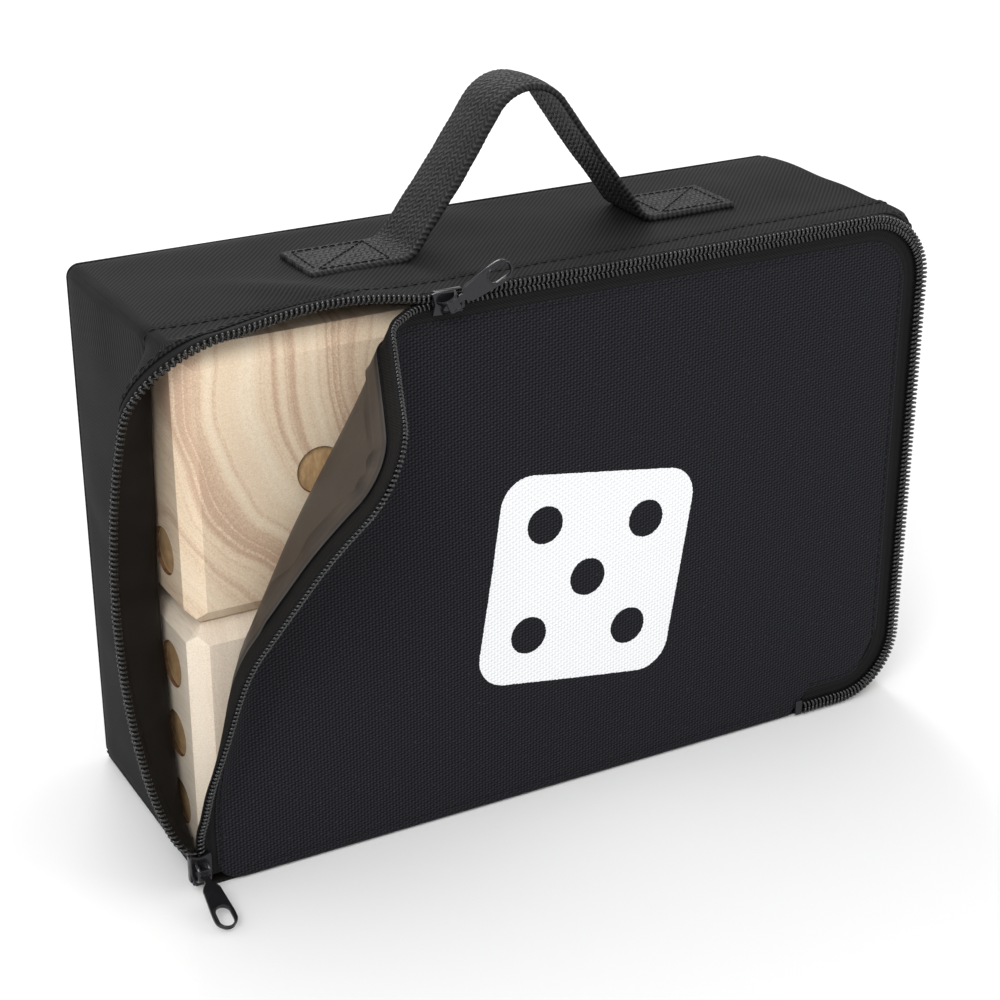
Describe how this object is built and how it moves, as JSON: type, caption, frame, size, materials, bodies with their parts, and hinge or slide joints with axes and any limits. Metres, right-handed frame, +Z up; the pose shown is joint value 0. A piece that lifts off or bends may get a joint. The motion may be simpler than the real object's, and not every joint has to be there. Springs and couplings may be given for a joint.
{
  "type": "giant yard dice in a carry case",
  "caption": "Large chamfered wooden dice in a fabric box case whose zip-round front is peeled open at a corner, with zip sliders and a webbing carry handle.",
  "frame": {"origin": "centre of the case's underside, on the ground", "axes": "+Z up; the zipped front faces -Y; +X runs along the case to the right as seen from the front"},
  "size_m": [0.2935, 0.1501, 0.234],
  "materials": {
    "gusset_cloth": "black ribbed polyester",
    "flap_cloth": "bluish charcoal heathered plain weave, smooth warm grey coating inside",
    "tape": "charcoal zip tape, stitched",
    "coil": "black nylon coil",
    "webbing": "coarse black webbing",
    "slider_metal": "glossy gunmetal plating",
    "die_wood": "sanded pale softwood with tan painted pips"
  },
  "bodies": {
    "case": {"back_panel": "gusset_cloth", "bottom_panel": "gusset_cloth", "top_panel": "gusset_cloth", "left_panel": "gusset_cloth", "right_panel": "gusset_cloth", "left_lip": "gusset_cloth", "gusset_tape": "tape", "gusset_coil": "coil", "zip_end_stops": "coil", "handle_tab_left": "webbing", "handle_tab_right": "webbing"},
    "flap": {"flap_panel": "flap_cloth", "flap_hem": "flap_cloth", "flap_tape": "tape", "flap_coil": "coil"},
    "flap_crease": {"crease_panel": "flap_cloth", "crease_tape": "tape", "crease_coil": "coil"},
    "flap_corner": {"corner_panel": "flap_cloth", "corner_tape": "tape", "corner_coil": "coil"},
    "handle": {"handle_strap": "webbing"},
    "top_slider": {"top_slider": "slider_metal"},
    "top_pull": {"top_pull": "slider_metal"},
    "bottom_slider": {"bottom_slider": "slider_metal"},
    "bottom_pull": {"bottom_pull": "slider_metal"},
    "die_1": {"die_1": "die_wood"},
    "die_2": {"die_2": "die_wood"},
    "die_3": {"die_3": "die_wood"},
    "die_4": {"die_4": "die_wood"},
    "die_5": {"die_5": "die_wood"},
    "die_6": {"die_6": "die_wood"}
  },
  "joints": [
    {"name": "flap_open", "type": "hinge", "parent": "case", "child": "flap", "pos_m": [0, -0.04585, 0.0008], "axis": [1, 0, 0], "range_deg": [0, 90], "deforming": ["flap_panel", "flap_hem", "flap_tape", "flap_coil", "crease_panel", "crease_tape", "crease_coil", "corner_panel", "corner_tape", "corner_coil", "gusset_tape", "gusset_coil", "zip_end_stops"]},
    {"name": "crease_fold", "type": "hinge", "parent": "flap", "child": "flap_crease", "pos_m": [-0.0558, -0.04635, 0.18789], "axis": [0.4538, 0, 0.8911], "range_deg": [-40, 0]},
    {"name": "corner_fold", "type": "hinge", "parent": "flap_crease", "child": "flap_corner", "pos_m": [-0.06468, -0.05471, 0.19241], "axis": [0.4538, 0, 0.8911], "range_deg": [-40, 0]},
    {"name": "handle_tilt", "type": "hinge", "parent": "case", "child": "handle", "pos_m": [0, 0.007, 0.1822], "axis": [1, 0, 0], "range_deg": [-65, 65], "deforming": ["handle_strap"]},
    {"name": "top_zip_slide", "type": "slide", "parent": "case", "child": "top_slider", "axis": [1, 0, 0], "range_m": [0, 0.15]},
    {"name": "top_pull_swing", "type": "hinge", "parent": "top_slider", "child": "top_pull", "pos_m": [-0.048, -0.05175, 0.18335], "axis": [0.4226, 0, -0.9063], "range_deg": [0, 90]},
    {"name": "bottom_zip_slide", "type": "slide", "parent": "case", "child": "bottom_slider", "axis": [0, 0, 1], "range_m": [0, 0.006]},
    {"name": "bottom_pull_swing", "type": "hinge", "parent": "bottom_slider", "child": "bottom_pull", "pos_m": [-0.13755, -0.05175, 0.01], "axis": [-1, 0, 0], "range_deg": [0, 100]},
    {"name": "die_1_out", "type": "slide", "parent": "case", "child": "die_1", "axis": [0, -1, 0], "range_m": [0, 0.0965]},
    {"name": "die_2_out", "type": "slide", "parent": "case", "child": "die_2", "axis": [0, -1, 0], "range_m": [0, 0.0965]},
    {"name": "die_3_out", "type": "slide", "parent": "case", "child": "die_3", "axis": [0, -1, 0], "range_m": [0, 0.0965]},
    {"name": "die_4_out", "type": "slide", "parent": "case", "child": "die_4", "axis": [0, -1, 0], "range_m": [0, 0.0965]},
    {"name": "die_5_out", "type": "slide", "parent": "case", "child": "die_5", "axis": [0, -1, 0], "range_m": [0, 0.0965]},
    {"name": "die_6_out", "type": "slide", "parent": "case", "child": "die_6", "axis": [0, -1, 0], "range_m": [0, 0.0965]}
  ],
  "couplings": [
    {"joint": "die_1_out", "follows": "flap_open", "m_per_rad": 0.061},
    {"joint": "die_2_out", "follows": "flap_open", "m_per_rad": 0.061},
    {"joint": "die_3_out", "follows": "flap_open", "m_per_rad": 0.061},
    {"joint": "die_4_out", "follows": "flap_open", "m_per_rad": 0.061},
    {"joint": "die_5_out", "follows": "flap_open", "m_per_rad": 0.061},
    {"joint": "die_6_out", "follows": "flap_open", "m_per_rad": 0.061},
    {"joint": "crease_fold", "follows": "flap_open", "ratio": -0.4444},
    {"joint": "corner_fold", "follows": "flap_open", "ratio": -0.4444}
  ]
}
